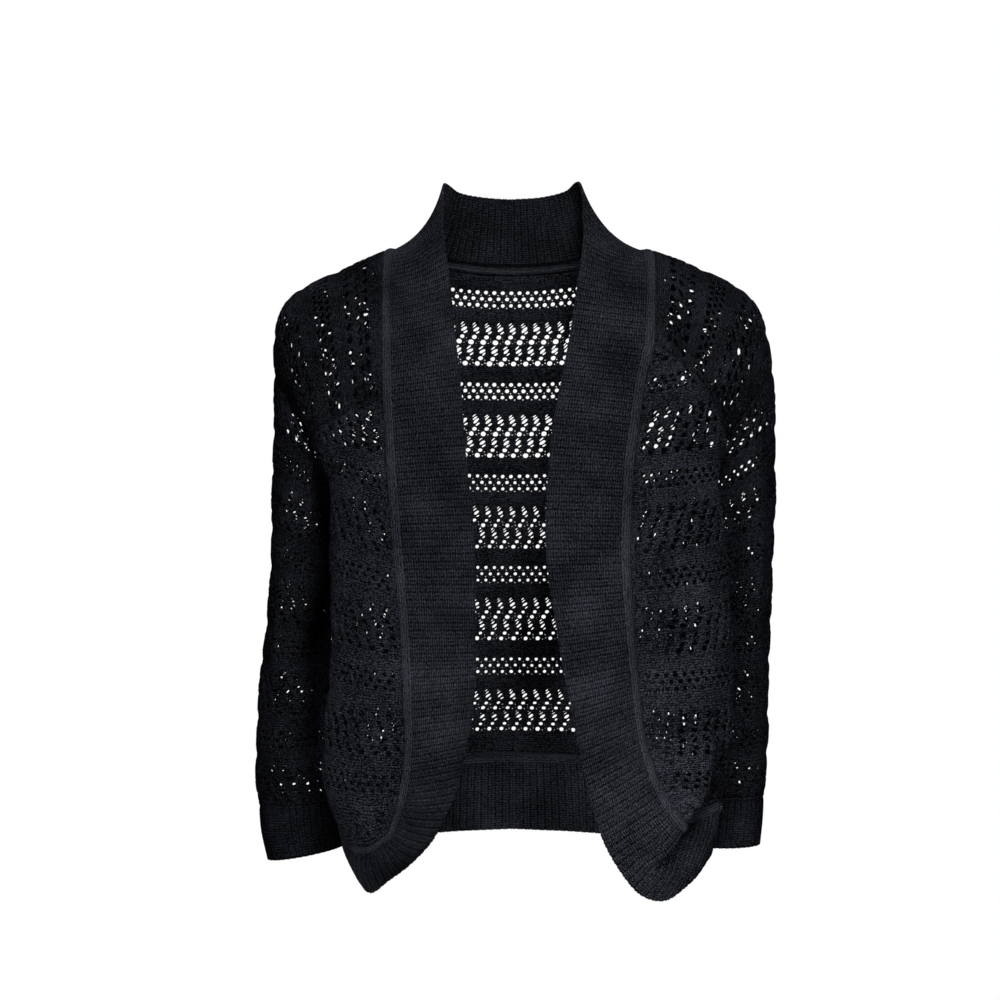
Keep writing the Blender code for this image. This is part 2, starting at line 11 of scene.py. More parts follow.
import bpy
import numpy as np
from mathutils.geometry import delaunay_2d_cdt
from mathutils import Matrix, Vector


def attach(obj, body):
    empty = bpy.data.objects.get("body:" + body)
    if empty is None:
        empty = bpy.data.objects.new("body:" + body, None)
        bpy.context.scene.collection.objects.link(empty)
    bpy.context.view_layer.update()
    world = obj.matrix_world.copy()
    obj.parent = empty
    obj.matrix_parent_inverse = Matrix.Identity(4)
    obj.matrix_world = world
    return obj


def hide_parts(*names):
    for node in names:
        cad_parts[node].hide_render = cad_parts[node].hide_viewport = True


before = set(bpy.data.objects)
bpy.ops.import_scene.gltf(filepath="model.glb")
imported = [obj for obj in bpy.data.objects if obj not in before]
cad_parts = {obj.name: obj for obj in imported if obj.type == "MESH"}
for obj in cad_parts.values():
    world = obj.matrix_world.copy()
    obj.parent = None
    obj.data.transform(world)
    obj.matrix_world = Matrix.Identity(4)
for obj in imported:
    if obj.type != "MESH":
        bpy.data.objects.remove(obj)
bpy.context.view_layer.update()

# ---------------- driving dimensions, mm
MM = 0.001
ORIGIN = np.array((0.0, 78.0, -30.0))  # the frame's origin, at the back of the neck
SIDES = ("left", "right")
LEAST_KNOT = 0.05  # keeps a smooth line sound where two of its points meet

# How fine the grids are: steps between two rows of a table, and columns across a piece.
LEVEL_STEPS = 12
TUBE_STEPS = 10
FRONT_COLUMNS = 44
HALF_BACK_COLUMNS = 44
HALF_SLEEVE_COLUMNS = 34

# Lace wall
LACE_WALL = 1.5
LACE_STEP = 4.2  # between places in plain knit
SEAM_DIP = 0.35  # how far a panel sinks at its seams
SEAM_REACH = 5.0  # and how near a seam it does
RIM_DIP = 0.55  # how far the yarn sinks at the rim of a hole
SEAM_WELD = 0.02  # a tube's two edges become one within this
POINTED = 0.01  # a border line shorter than this is one point

# Lace: one repeat down the knitting has two rows of fans, a plain ridge, three rows of eyelets
# and another ridge.
REPEAT = 88.0
FAN_ROWS = (10.5, 31.0)
FAN_PITCH = 11.6
EYELET_ROWS = (59.0, 65.0, 71.0)
EYELET_PITCH = 8.0
UNIT_REACH = 12.0  # a row this far past an end of a panel has no hole on it
RIDGES = (47.5, 83.0)
RIDGE_HEIGHT = 0.9
RIDGE_WIDTH = 3.4
FANS_MIDDLE = 20.75  # the fans' ripple: its middle, half width, height and slant
FANS_REACH = 16.0
RIPPLE_HEIGHT = 0.55
RIPPLE_SLANT = 24.0
THREAD = 0.3  # thinnest yarn left between two holes
EDGE_MARGIN = 2.6  # plain knit left beside a seam
HOLE_CLEAR = 1.3  # between a hole and the nearest places of plain knit
SLACK_FROM = -200.0  # heights between which the cloth goes slack
SLACK_TO = -300.0
HOLE_DRIFT = 0.12  # how unevenly the holes are placed, sized and turned
HOLE_SIZES = (0.88, 1.06)
HOLE_TURN = 4.0  # degrees
DIRECTIONS = 12  # in which the gap between two holes is measured

# Rib band and cuffs
RIB_WALL = 1.7
RIB_STAND = 0.35  # how far the rib stands over its surface
RIB_DEPTH = 0.62
RIB_PITCH = 6.7  # two knit and two purl wales
RIB_PROFILE = np.array((-0.5, 0.85, -0.2, -0.75, -0.2, 0.85))  # heights over one repeat
RIB_SAMPLES = len(RIB_PROFILE)
EDGE_TOOTH = 0.35  # how far the free edge follows the ribs
EDGE_WAVES = ((41.0, 1.0, 0.0), (67.0, 0.7, 1.0))  # waves round the edge, strength and start
EDGE_WAVE_HEIGHT = 0.35
BAND_WIDTH = 72.0
BAND_SHARES = np.concatenate(((0.0, 0.02), np.linspace(0.08, 0.8, 11),
                              (0.855, 0.875, 0.9, 0.925, 0.96, 0.99, 1.014)))
BAND_EVEN = 8  # stations each way over which the band's facing is evened
CORD_FROM = 1.0 - 8.0 / BAND_WIDTH  # share of the band where the linking seam's cord starts
CORD_RISE = 2.0
CORD_PROFILE = ((0.0, 0.84, 0.872, 0.895, 0.925, 0.96, 0.99, 1.014),
                (0.0, 0.0, -0.3, 0.55, 1.0, 0.95, 0.45, -0.45))
CORD_GRAIN = 0.18
FREE_EDGE_DEPTH = 0.6  # share of the ribs' depth left at the free edge
CUFF_PITCH = 5.6
CUFF_LENGTH = 46.0
CUFF_ROWS = 15
CUFF_SEAM = 0.93  # share of the cuff where its seam's ridge is
CUFF_SEAM_WIDTH = 0.05
CUFF_SEAM_RISE = 0.5
CUFF_FLAT_FROM = 0.9  # share from which the ribs are flatter, beside the seam
CUFF_DEPTHS = (0.4, 0.85)  # the flatter ribs, and the rest, to the band's

# Lace panel: where its repeat starts, how far it is stretched across, and how wide its holes
# gape at the top and further down, where the cloth hangs slack.
PANELS = {
    "back_panel": ((-39.0, 1.0), (0.95, 0.74)),
    "front_left": ((-20.0, 1.0), (1.12, 1.02)),
    "front_right": ((14.0, 1.0), (1.0, 0.9)),
    "sleeve_left": ((0.0, 1.08), (1.2, 0.66)),
    "sleeve_right": ((0.0, 1.08), (1.2, 0.66)),
}

# Knit: colours of painted shade in the gaps of the knit, of the yarn on its legs and of painted highlight
# where it catches the light; width (in ribs, if it is ribbed) and height of a stitch; relief in metres;
# whether it is ribbed.
KNITS = {
    "lace_knit": (((0.0001, 0.0001, 0.0002), (0.0025, 0.0028, 0.0038), (0.0235, 0.0256, 0.0316)),
        2.6, 2.2, 0.0009, False),
    # the lace yarn painted darker: painted shade on the hanging sleeves
    "sleeve_knit": (((0.0001, 0.0001, 0.0001), (0.0017, 0.0019, 0.0026), (0.0155, 0.0168, 0.0210)),
        2.6, 2.2, 0.0009, False),
    "rib_knit": (((0.0002, 0.0003, 0.0004), (0.0052, 0.0057, 0.0074), (0.0280, 0.0302, 0.0362)),
        0.25, 2.2, 0.0006, True),
    # the rib yarn painted darker: painted shade on the cuffs
    "cuff_knit": (((0.0001, 0.0002, 0.0003), (0.0034, 0.0038, 0.0050), (0.0200, 0.0218, 0.0272)),
        0.25, 2.2, 0.0006, True),
}
CORD_COLOUR_FROM = 0.885 * BAND_WIDTH
NO_CORD = 1000.0  # further than any cuff is long
TONE_PLACES = (0.0, 0.3, 0.75)  # heights of tone at which the three colours lie: painted shade, yarn, painted highlight
WAVER_GRAIN = 210.0  # patches to a metre: of stitches out of line,
FUZZ_GRAIN = 1300.0  # of fibre,
LOOSE_GRAIN = 640.0  # of looser stitches,
SHADE_GRAIN = 26.0  # and of the yarn's slow change of shade
WAVER = 1.6  # how far stitches are out of line down, and across
WAVER_ACROSS = 0.4
LEG_SLANT = 0.6  # how far a stitch's V falls over its width
LEG_ROUND = 0.7
# painted highlight on the stitches' legs and painted shade in the gaps between them, from their relief
STITCH_LIGHT_AND_SHADE = 0.62
SHADE_TONE = 0.5
LOOSE_TONES = (1.4, 0.8)  # on lace and on rib
FUZZ_TONES = (0.8, 0.5)
FUZZ_RELIEF = 0.8
GROOVE_PAINTED_SHADE = 0.16  # painted shade: how much darker the grooves are painted, both between the ribs and down the split of each crest
# painted shade: how much deeper it is in the grooves between the ribs than in the split of each crest
RIB_PAINTED_SHADE = 0.04
CORD_TONE = 0.05
ROUGHNESS = 0.72
FUZZ_ROUGHNESS = 0.2

# Stage, in metres and watts. Light: place, aim, width, power and spread.
CHEST = (0.0, 0.0, -0.3)
LIGHTS = {
    "key": ((0.2, -1.8, 0.95), CHEST, 0.5, 96.0, math.pi),
    "low": ((-0.6, -1.5, -1.0), (0.16, -0.1, -0.5), 0.4, 1.8, 0.45),
    "side": ((1.3, -1.6, -0.1), (0.1, 0.0, -0.3), 0.6, 16.0, math.pi),
    "top": ((0.0, 0.3, 1.6), CHEST, 0.9, 14.0, math.pi),
    "back": ((0.5, 2.0, 0.6), CHEST, 0.9, 45.0, math.pi),
}
AMBIENT = 0.4
FLOOR_RADIUS = 3.0
FLOOR_HEIGHT = -1.45  # as far below the hem as a standing wearer's feet
FLOOR_SIDES = 96
FLOOR_SHADE = 0.3
FLOOR_GLOW = 0.62
CAMERA_PLACE = (-0.0106, -2.588, -0.250)
CAMERA_LENS = 98.2
SENSOR_WIDTH = 36.0


# ---------------- tables of the shape
# Saddle and armhole: one row from the neck band out to the underarm, where the two seams meet. x, y
# and z of the top of the shoulder, the front raglan seam and the back one, and the spare depth
# beyond the seams.
SHOULDER = {"left": np.array((
    (130.5, 12, -51, 127.5, -76, -140, 72, 80, -56, 0),
    (160, 12, -62.5, 147.5, -78, -155, 98, 92, -84, 0),
    (188, 12, -74.5, 164, -76, -169, 123, 99, -118, 0),
    (211, 12, -87, 175, -71, -184, 145, 100, -152, 0),
    (227, 12, -106, 184, -62, -204, 159, 93, -184, 1),
    (235, 12, -131, 188, -49, -225, 167, 75, -214, 7),
    (239.5, 12, -160, 178, -28, -246, 168, 46, -242, 14),
    (242, 12, -200, 169, 10, -260, 169, 10, -260, 56),
)), "right": np.array((
    (-117, 12, -51, -114.5, -92, -190, -70, 80, -56, 0),
    (-149, 12, -66, -134, -92, -200, -96, 92, -84, 0),
    (-177, 12, -78, -155, -86, -208, -120, 99, -118, 0),
    (-199, 12, -90.5, -171, -76, -216, -139, 100, -152, 0),
    (-212, 12, -108, -178, -62, -226, -150, 93, -186, 1),
    (-217.5, 12, -132, -175, -48, -236.5, -154, 75, -216, 7),
    (-217.5, 12, -165, -161, -27, -248.5, -153, 46, -244, 14),
    (-217.5, 12, -205, -153, 10, -262, -153, 10, -262, 56),
))}
UNDERARM = len(SHOULDER["left"]) - 1

# Sleeve below the underarm, hanging empty, and the cuff below it: closed rings, each by the x and
# z of its outermost and innermost points, the y of its middle and its half depth.
SLEEVE_TUBE = {
    "left": (
        (242, -250, 176, -289, 14, 57), (242.5, -300, 176.5, -326, 16, 57.5),
        (241, -345, 176, -362, 18, 57), (240, -395, 175.5, -404, 20, 56),
        (238, -445, 175, -451, 22, 54), (237, -492, 172.5, -495, 24, 51),
        (235, -526, 169, -528, 26, 47), (233, -552, 165, -552, 27, 42),
    ),
    "right": (
        (-219.5, -250, -162, -292, 14, 56), (-220.5, -300, -166, -328, 16, 57.5),
        (-222, -345, -167.5, -364, 18, 57), (-226, -395, -168.5, -404, 20, 57),
        (-231.5, -445, -168.5, -450, 22, 55), (-235, -502, -167.5, -503, 24, 52),
        (-235.5, -538, -166, -538, 25, 47), (-233, -560, -162, -558, 26, 42),
    ),
}
CUFF = {
    "left": (SLEEVE_TUBE["left"][-1], (232, -575, 162, -575, 27.5, 41), (229.5, -599, 159, -599, 28, 40)),
    "right": (SLEEVE_TUBE["right"][-1], (-231, -586, -159, -579, 26.5, 41), (-225, -613, -156, -600, 27, 40)),
}

# Fronts: one row from the point where saddle, front and band meet down to the hem seam. x, y and z
# on the band seam; x and y at the breast, the fold and the tuck, across the panel to the side; and
# how far it sags below the straight line to the side.
FRONT = {"left": np.array((
    (127.5, -76, -140, 127.5, -76, 127.5, -76, 127.5, -76, 0),
    (122, -84, -160, 130, -83.5, 138, -82, 143, -80, 0),
    (117, -92, -182, 133, -90.5, 149, -86.5, 159, -81.5, 0),
    (114.5, -98, -200, 136, -97, 158, -90.5, 171, -81, 1),
    (111.5, -104, -220, 137, -103, 164, -94, 180, -79, 2),
    (108, -110, -242, 138, -108, 173, -95, 190, -72, 3),
    (106.5, -114.5, -264, 139, -112, 179, -93, 184, -66, 3),
    (105, -117.5, -290, 141, -115, 182, -91, 172, -55, 3),
    (104, -119, -330, 145, -117, 187, -87, 178, -45, 4),
    (107, -120, -385, 148, -119, 192, -86, 178, -39, 5),
    (111.5, -120, -440, 150, -121, 194, -88, 179, -38, 6),
    (117.5, -119, -487, 153, -122, 193, -90, 178, -38, 7),
    (133.5, -117, -538, 160, -118, 192, -85, 179, -39, 5),
    (151, -104, -577, 168, -88, 187, -60, 178, -24, 0),
)), "right": np.array((
    (-114.5, -92, -190, -114.5, -92, -114.5, -92, -114.5, -92, 0),
    (-113.8, -96, -203, -121, -96, -128, -95, -132, -93.5, 0),
    (-112.8, -101, -217, -125, -100.5, -138, -97, -148.5, -91.5, 0),
    (-111.8, -105, -231, -127, -104.5, -145, -98, -160.5, -88, 1),
    (-110.8, -109, -247, -129, -108, -151, -99, -168, -82, 1),
    (-109.5, -112, -264, -130, -111, -156, -98, -171, -74, 3),
    (-108.2, -115, -282, -132, -113, -158, -95, -167, -62, 2),
    (-106.6, -117, -302, -132, -114, -158, -91, -154, -53, 3),
    (-103.2, -118, -338, -131, -115, -158, -89, -161, -48, 3),
    (-98, -119, -398, -129, -118, -158, -92, -162, -47, 3),
    (-95.7, -120, -450, -130, -121, -160, -96, -165, -48, 4),
    (-94.3, -121, -500, -130, -124, -163, -99, -168, -49, 6),
    (-100, -121, -542, -128, -124, -160, -101, -167, -51, 10),
    (-109, -115, -572, -126, -103, -146, -74, -156, -34, 30),
))}
# Breast, fold and tuck: columns, how far on the way down to the side, and share of the sag.
ACROSS = (((3, 4, 9), 0.3, 0.7), ((5, 6, 9), 0.62, 1.0), ((7, 8, 9), 0.85, 0.5))

# Side seams below the underarm, level with rows of the fronts and back.
SIDE_SEAM = {
    "left": ((154, 10, -300), (153, 10, -360), (153.5, 10, -420),
             (155, 11, -472), (155, 12, -516), (156, 14, -538)),
    "right": ((-145.5, 8, -304), (-145.5, 7, -365), (-145.5, 8, -424),
              (-146, 9, -476), (-145, 11, -520), (-145, 14, -545)),
}

# Back, down its middle: y, z, and how many degrees round its arc reaches the seam on each side.
BACK = (
    (96, -63, 45), (103, -94, 50), (109, -129, 56), (113.5, -164, 62),
    (116.5, -199, 70), (118, -232, 75), (118.5, -258, 78), (118.5, -280, 80),
    (117.5, -322, 84), (115, -375, 88), (114, -428, 90), (117, -474, 90),
    (122, -508, 90), (119, -524, 90),
)

# Free edge of the rib band, by the stretches of its seam. Each row stands opposite a place on the
# seam: the share of the stretch, then x, y, z and how far the rib rounds out between.
BAND_EDGE = {
    "left": {
        "neck": ((0, 0, 68, 4, -2), (0.5, 28, 63, 5.5, -3), (1, 50, 47, 9, -5)),
        "saddle": ((0.2, 63, 22, 15, -9), (0.5, 66, 0, -22, -10), (0.62, 65.5, -17, -44, -8),
                   (0.825, 59, -45, -87, -4)),
        "front": ((0.02, 50.5, -80, -139, 0), (0.183, 37, -107, -209, 2), (0.293, 31, -117, -262, 3),
                  (0.43, 30, -122, -328, 4), (0.57, 40, -122, -400, 4), (0.7, 53, -120, -468, 5),
                  (0.817, 66.5, -117, -532, 6), (0.915, 82, -113, -584, 6), (0.985, 112, -107, -627, 5)),
        "hem": ((0.18, 135, -98, -634.5, 4), (0.42, 164, -77, -616, 4), (0.62, 180, -50, -598, 3),
                (0.82, 166, -18, -598, 3), (1, 149, 16, -602, 3)),
        "back": ((0.45, 112, 84, -600, 3), (0.72, 61, 105, -598, 3), (1, 0, 111, -596, 3)),
    },
    "right": {
        "neck": ((0, 0, 68, 4, -2), (0.5, -28, 63, 5.5, -3), (1, -49, 47, 8, -5)),
        "saddle": ((0.18, -62.5, 22, 13.5, -9), (0.38, -63, 2, -13, -10), (0.5, -62, -14, -38, -9),
                   (0.67, -56, -42, -81, -4), (0.86, -50, -80, -137, -1)),
        "front": ((0.012, -44.5, -104, -186, 1), (0.142, -40.5, -113, -238, 2),
                  (0.322, -33.5, -120, -310, 3), (0.53, -32, -121, -392, 3), (0.69, -32.5, -117, -448, 4),
                  (0.82, -39, -110, -494, 5), (0.905, -47.5, -102, -530, 6),
                  (0.985, -70.5, -90, -582, 7)),
        "hem": ((0.1, -108.5, -68, -620, 7), (0.22, -128, -55, -633, 6), (0.4, -142, -34, -612, 5),
                (0.7, -144, -4, -598, 4), (1, -137, 22, -600, 3)),
        "back": ((0.45, -106, 84, -600, 3), (0.72, -58, 105, -598, 3), (1, 0, 111, -596, 3)),
    },
}

# Soft troughs and ridges: a line's start and end, how the cloth is pushed, and how far from it.
FOLDS = (
    # the breast line on the right
    ((-140, -116, -330), (-132, -124, -470), (0, 6, 0), 10),
    # soft upright folds of the fronts
    ((124, -122, -262), (123, -123, -418), (0, -4.5, 0), 8),
    ((139, -118, -280), (140, -119, -440), (0, 3.5, 0), 9),
    ((163, -104, -300), (170, -106, -500), (2, -3, 0), 9),
    ((-118, -116, -300), (-112, -122, -430), (0, -3, 0), 8),
    ((-152, -98, -360), (-150, -108, -520), (2, -5, 0), 9),
    ((-116, -112, -484), (-130, -116, -556), (0, 5, 0), 8),
    # pulls at the underarms, and the upright folds of the back
    ((188, -60, -212), (214, -50, -262), (0, 4, 0), 7),
    ((-172, -66, -226), (-192, -50, -276), (0, 4, 0), 7),
    ((58, 112, -230), (50, 112, -470), (0, -5, 0), 12),
    ((-46, 114, -200), (-60, 110, -500), (0, -4, 0), 13),
    ((4, 118, -300), (-6, 118, -520), (0, 4, 0), 12),
    ((104, 92, -260), (112, 84, -420), (3, 4, 0), 11),
    ((-100, 92, -260), (-104, 86, -440), (-3, 4, 0), 11),
)

# The slack side of the body, drawn in beside the right sleeve.
BODY_FOLDS = (
    ((-186, -58, -372), (-186, -58, -482), (26, -2, 0), 25),
    ((-176, -20, -372), (-176, -20, -482), (20, 0, 0), 26),
)

# Hanging folds of the sleeves: beside the body, then front, outside and back of each.
SLEEVE_FOLDS = (
    ((194, -46, -300), (197, -38, -520), (0, 28, 0), 14),
    ((-166, -16, -386), (-166, -16, -440), (-12, 60, 0), 21),
    ((-172, -18, -440), (-180, -14, -540), (-3, 24, 0), 15),
    ((221, -36, -240), (222, -30, -420), (3, -3, 0), 8),
    ((240, 10, -300), (238, 14, -470), (-5, 0, 0), 10),
    ((214, 66, -250), (210, 72, -470), (0, -6, 0), 10),
    ((-196, -46, -240), (-210, -36, -500), (0, 5, 0), 9),
    ((-208, -34, -330), (-222, -28, -520), (-2, -4, 0), 8),
    ((-218, 16, -230), (-224, 16, -400), (4, 0, 0), 10),
    ((-192, 70, -260), (-206, 72, -480), (0, -6, 0), 10),
)

FOLD_END = 0.08  # share of its length before which a fold still deepens
FOLD_LEAST = 0.35  # depth of a fold beyond its ends, to its middle's

# Where the cloth hangs over itself: a line of x and z, going down. Cloth nearer the middle is
# pushed over it, and cloth further out is pushed under.
TUCK_LINE = ((178, -487), (175, -513), (164, -540), (155, -554), (146, -567), (141, -577),
             (135, -588), (128, -604))
TUCK_OVER = (9.0, -9.0, -1.0)
TUCK_UNDER = (0.0, 24.0, 16.0)
TUCK_REACH = 24.0
TUCK_SETS_IN = 0.3  # shares of the line over which it sets in and fades
TUCK_FADES = 0.15
TUCK_BEHIND = -60.0  # only cloth in front of this depth is tucked
TUCK_SHARP = 0.8
STRAIN_REACH = 4.0  # cloth this far each way from a hole,
STRAIN_LIMIT = 14.0  # drawn out to more than this, shows none

# Holes of the lace: place across and down from the middle of the unit, length, width, lean in
# degrees from across, and how many corners.
FAN = (
    (-0.6, -9.3, 4.4, 1.3, 42, 6),
    (0.2, -7.2, 5.9, 1.7, 40, 6),
    (1.4, -4.2, 7.6, 3.3, 38, 8),
    (2.9, -1.2, 5, 1.9, 34, 6),
    (-0.3, 3.1, 5, 4.1, 14, 8),
    (-3.4, 7.9, 5.7, 5, 8, 8),
    (3.6, 4.6, 1.5, 1.1, 0, 4),
    (4, 7.4, 1.5, 1.1, 0, 4),
    (1.2, 8.8, 1.4, 1.1, 0, 4),
)
EYELET = (
    (0, 0, 4.3, 3.9, 20, 8),
    (3.6, 2.4, 1.5, 1.2, 0, 4),
)


# ---------------- curves
def smooth(points, place):
    """Point on the smooth line through the points, where place counts points from 0."""
    last = len(points) - 1
    first = min(int(place), last - 1)
    run = [np.asarray(point, float) for point in points[max(first - 1, 0):first + 3]]
    if first == 0:
        run.insert(0, 2 * run[0] - run[1])
    if len(run) < 4:
        run.append(2 * run[-1] - run[-2])
    knots = [0.0]
    for here, there in zip(run, run[1:]):
        knots.append(knots[-1] + max(math.sqrt(np.linalg.norm(there - here)), LEAST_KNOT))
    at = knots[1] + (place - first) * (knots[2] - knots[1])

    def between(low, high, left, right):
        return ((knots[high] - at) * left + (at - knots[low]) * right) / (knots[high] - knots[low])

    steps = [between(n, n + 1, run[n], run[n + 1]) for n in range(3)]
    bends = [between(n, n + 2, steps[n], steps[n + 1]) for n in range(2)]
    return between(1, 2, bends[0], bends[1])


# ---------------- where each piece's surface runs
def shoulder_row(side, place):
    """Ridge, front seam, back seam and spare depth at a place on the shoulder table."""
    table = SHOULDER[side]
    ridge, front, back = (smooth(table[:, first:first + 3], place) for first in (0, 3, 6))
    spare = table[:, 9]
    first = min(int(place), len(table) - 2)
    share = place - first
    return ridge, front, back, (1 - share) * spare[first] + share * spare[first + 1]


def arch(ridge, front, back, spare, steps):
    """Points over the shoulder from the front seam by the ridge to the back seam."""
    points = []
    for seam, facing in ((front, -1.0), (back, 1.0)):
        reach = (seam[1] - ridge[1]) * facing
        depth = reach + spare
        end = math.pi - math.asin(min(reach / depth, 1.0))
        drop = (ridge - seam) / (1 - math.cos(end))
        half = []
        for step in range(steps + 1):
            angle = end * step / steps
            point = ridge + drop * (math.cos(angle) - 1)
            point[1] = ridge[1] + facing * depth * math.sin(angle)
            half.append(point)
        points.append(half)
    return points[0][::-1] + points[1][1:]


def ring(row, steps):
    """Points round a closed ring from its inner point by the front, outer point and back."""
    outer_x, outer_z, inner_x, inner_z, centre_y, half_depth = row
    outer = np.array((outer_x, centre_y, outer_z))
    inner = np.array((inner_x, centre_y, inner_z))
    return arch(outer, inner, inner, half_depth, steps)


def outer_point(side, place, seam):
    """Point on a panel's outer side: its raglan seam (1 front, 2 back), and the side seam below."""
    if place <= UNDERARM:
        return shoulder_row(side, place)[seam]
    return smooth([SHOULDER[side][-1, 3:6], *SIDE_SEAM[side]], place - UNDERARM)


def front_row(side, place):
    """Points across a front from the band seam to the raglan or side seam."""
    table = FRONT[side]
    edge = smooth(table[:, :3], place)
    if place == 0:
        return [edge] * (FRONT_COLUMNS + 1)
    outer = outer_point(side, place, 1)
    controls = [edge]
    for columns, down, share in ACROSS:
        x, y, sag = smooth(table[:, columns], place)
        controls.append(np.array((x, y, edge[2] + down * (outer[2] - edge[2]) - share * sag)))
    controls.append(outer)
    spans = len(controls) - 1
    return [smooth(controls, spans * column / FRONT_COLUMNS) for column in range(FRONT_COLUMNS + 1)]


def back_row(place):
    """Points across the back from the right seam to the left seam."""
    centre_y, centre_z, sweep = smooth(BACK, place)
    sweep = math.radians(min(sweep, 90.0))
    halves = []
    for side in ("right", "left"):
        outer = outer_point(side, place, 2)
        half = []
        for column in range(HALF_BACK_COLUMNS + 1):
            angle = sweep * column / HALF_BACK_COLUMNS
            bend = (1 - math.cos(angle)) / (1 - math.cos(sweep))
            half.append(np.array((outer[0] * math.sin(angle) / math.sin(sweep),
                                  centre_y + (outer[1] - centre_y) * bend,
                                  centre_z + (outer[2] - centre_z) * bend)))
        halves.append(half)
    return halves[0][::-1] + halves[1][1:]


def places(levels, steps):
    return [level / steps for level in range(levels * steps + 1)]


def front_grid(side):
    return np.array([front_row(side, place) for place in places(len(FRONT[side]) - 1, LEVEL_STEPS)])


def back_grid():
    return np.array([back_row(place) for place in places(len(BACK) - 1, LEVEL_STEPS)])


def sleeve_grid(side):
    """Open arches down to the underarm, then closed rings down to the cuff seam."""
    rows = [arch(*shoulder_row(side, place), HALF_SLEEVE_COLUMNS)
            for place in places(UNDERARM, LEVEL_STEPS)]
    ridge_x, ridge_y, ridge_z, front_x, _, front_z, *_, spare = SHOULDER[side][-1]
    table = [(ridge_x, ridge_z, front_x, front_z, ridge_y, spare), *SLEEVE_TUBE[side]]
    rows += [ring(smooth(table, place), HALF_SLEEVE_COLUMNS)
             for place in places(len(SLEEVE_TUBE[side]), TUBE_STEPS)[1:]]
    return np.array(rows)


# ---------------- folds
def tucked(points):
    """The points moved where the cloth hangs over itself."""
    line = np.array(TUCK_LINE)
    flat = points[:, (0, 2)]
    nearest = np.full(len(points), np.inf)
    signed = np.zeros(len(points))
    share = np.zeros(len(points))
    for number, (start, end) in enumerate(zip(line, line[1:])):
        run = end - start
        part = np.clip((flat - start) @ run / (run @ run), 0.0, 1.0)
        gap = flat - start - part[:, None] * run
        away = np.linalg.norm(gap, axis=1)
        side = run[0] * gap[:, 1] - run[1] * gap[:, 0]
        closer = away < nearest
        signed = np.where(closer, np.sign(side) * away, signed)
        share = np.where(closer, (number + part) / (len(line) - 1), share)
        nearest = np.minimum(nearest, away)
    ends = np.clip(share / TUCK_SETS_IN, 0.0, 1.0) * np.clip((1.0 - share) / TUCK_FADES, 0.0, 1.0)
    felt = ends * np.exp(-(nearest / TUCK_REACH) ** 2) * (points[:, 1] < TUCK_BEHIND)
    behind = 1.0 / (1.0 + np.exp(-signed / TUCK_SHARP))
    return points + ((felt * behind)[:, None] * TUCK_UNDER + (felt * (1.0 - behind))[:, None] * TUCK_OVER)


def strained(points):
    """True where the cloth is drawn so hard over the tuck that no hole of the lace shows."""
    reach = np.array((STRAIN_REACH, 0.0, 0.0))
    return np.linalg.norm(tucked(points + reach) - tucked(points - reach), axis=1) > STRAIN_LIMIT


def folded(points, own_folds):
    """The points moved into the folds that pass near them: the shared ones and a piece's own."""
    moved = tucked(points)
    for start, end, push, radius in FOLDS + own_folds:
        run = np.subtract(end, start)
        share = np.clip((points - start) @ run / (run @ run), 0.0, 1.0)
        away = np.linalg.norm(points - start - share[:, None] * run, axis=1)
        depth = np.sin(math.pi * np.clip(share, FOLD_END, 1.0 - FOLD_END))
        taper = FOLD_LEAST + (1.0 - FOLD_LEAST) * depth
        moved += np.exp(-(away / radius) ** 2)[:, None] * taper[:, None] * push
    return moved


# ---------------- the lace
class Cloth:
    """A grid of points unrolled to millimetres: u across from the middle column, v down."""

    def __init__(self, grid, middle):
        self.grid = grid
        steps = np.linalg.norm(np.diff(grid, axis=1), axis=2)
        self.across = np.concatenate((np.zeros((len(grid), 1)), np.cumsum(steps, axis=1)), axis=1)
        self.across -= self.across[:, middle:middle + 1]
        down = np.linalg.norm(np.diff(grid[:, middle], axis=0), axis=1)
        self.down = np.concatenate(((0.0,), np.cumsum(down)))

    def sides(self, v):
        """Lowest and highest u at v."""
        return np.interp(v, self.down, self.across[:, 0]), np.interp(v, self.down, self.across[:, -1])

    def place(self, flat):
        """Points in space for places (u, v) on the cloth."""
        row = np.interp(flat[:, 1], self.down, np.arange(len(self.down)))
        first = np.minimum(row.astype(int), len(self.down) - 2)
        share = (row - first)[:, None]
        across = (1 - share) * self.across[first] + share * self.across[first + 1]
        last = self.across.shape[1] - 2
        column = np.clip((across <= flat[:, :1]).sum(axis=1) - 1, 0, last)
        number = np.arange(len(flat))
        low = across[number, column]
        span = np.maximum(across[number, column + 1] - low, 1e-9)
        part = np.clip((flat[:, 0] - low) / span, 0.0, 1.0)[:, None]
        points = [(1 - part) * self.grid[r, column] + part * self.grid[r, column + 1]
                  for r in (first, first + 1)]
        return (1 - share) * points[0] + share * points[1]


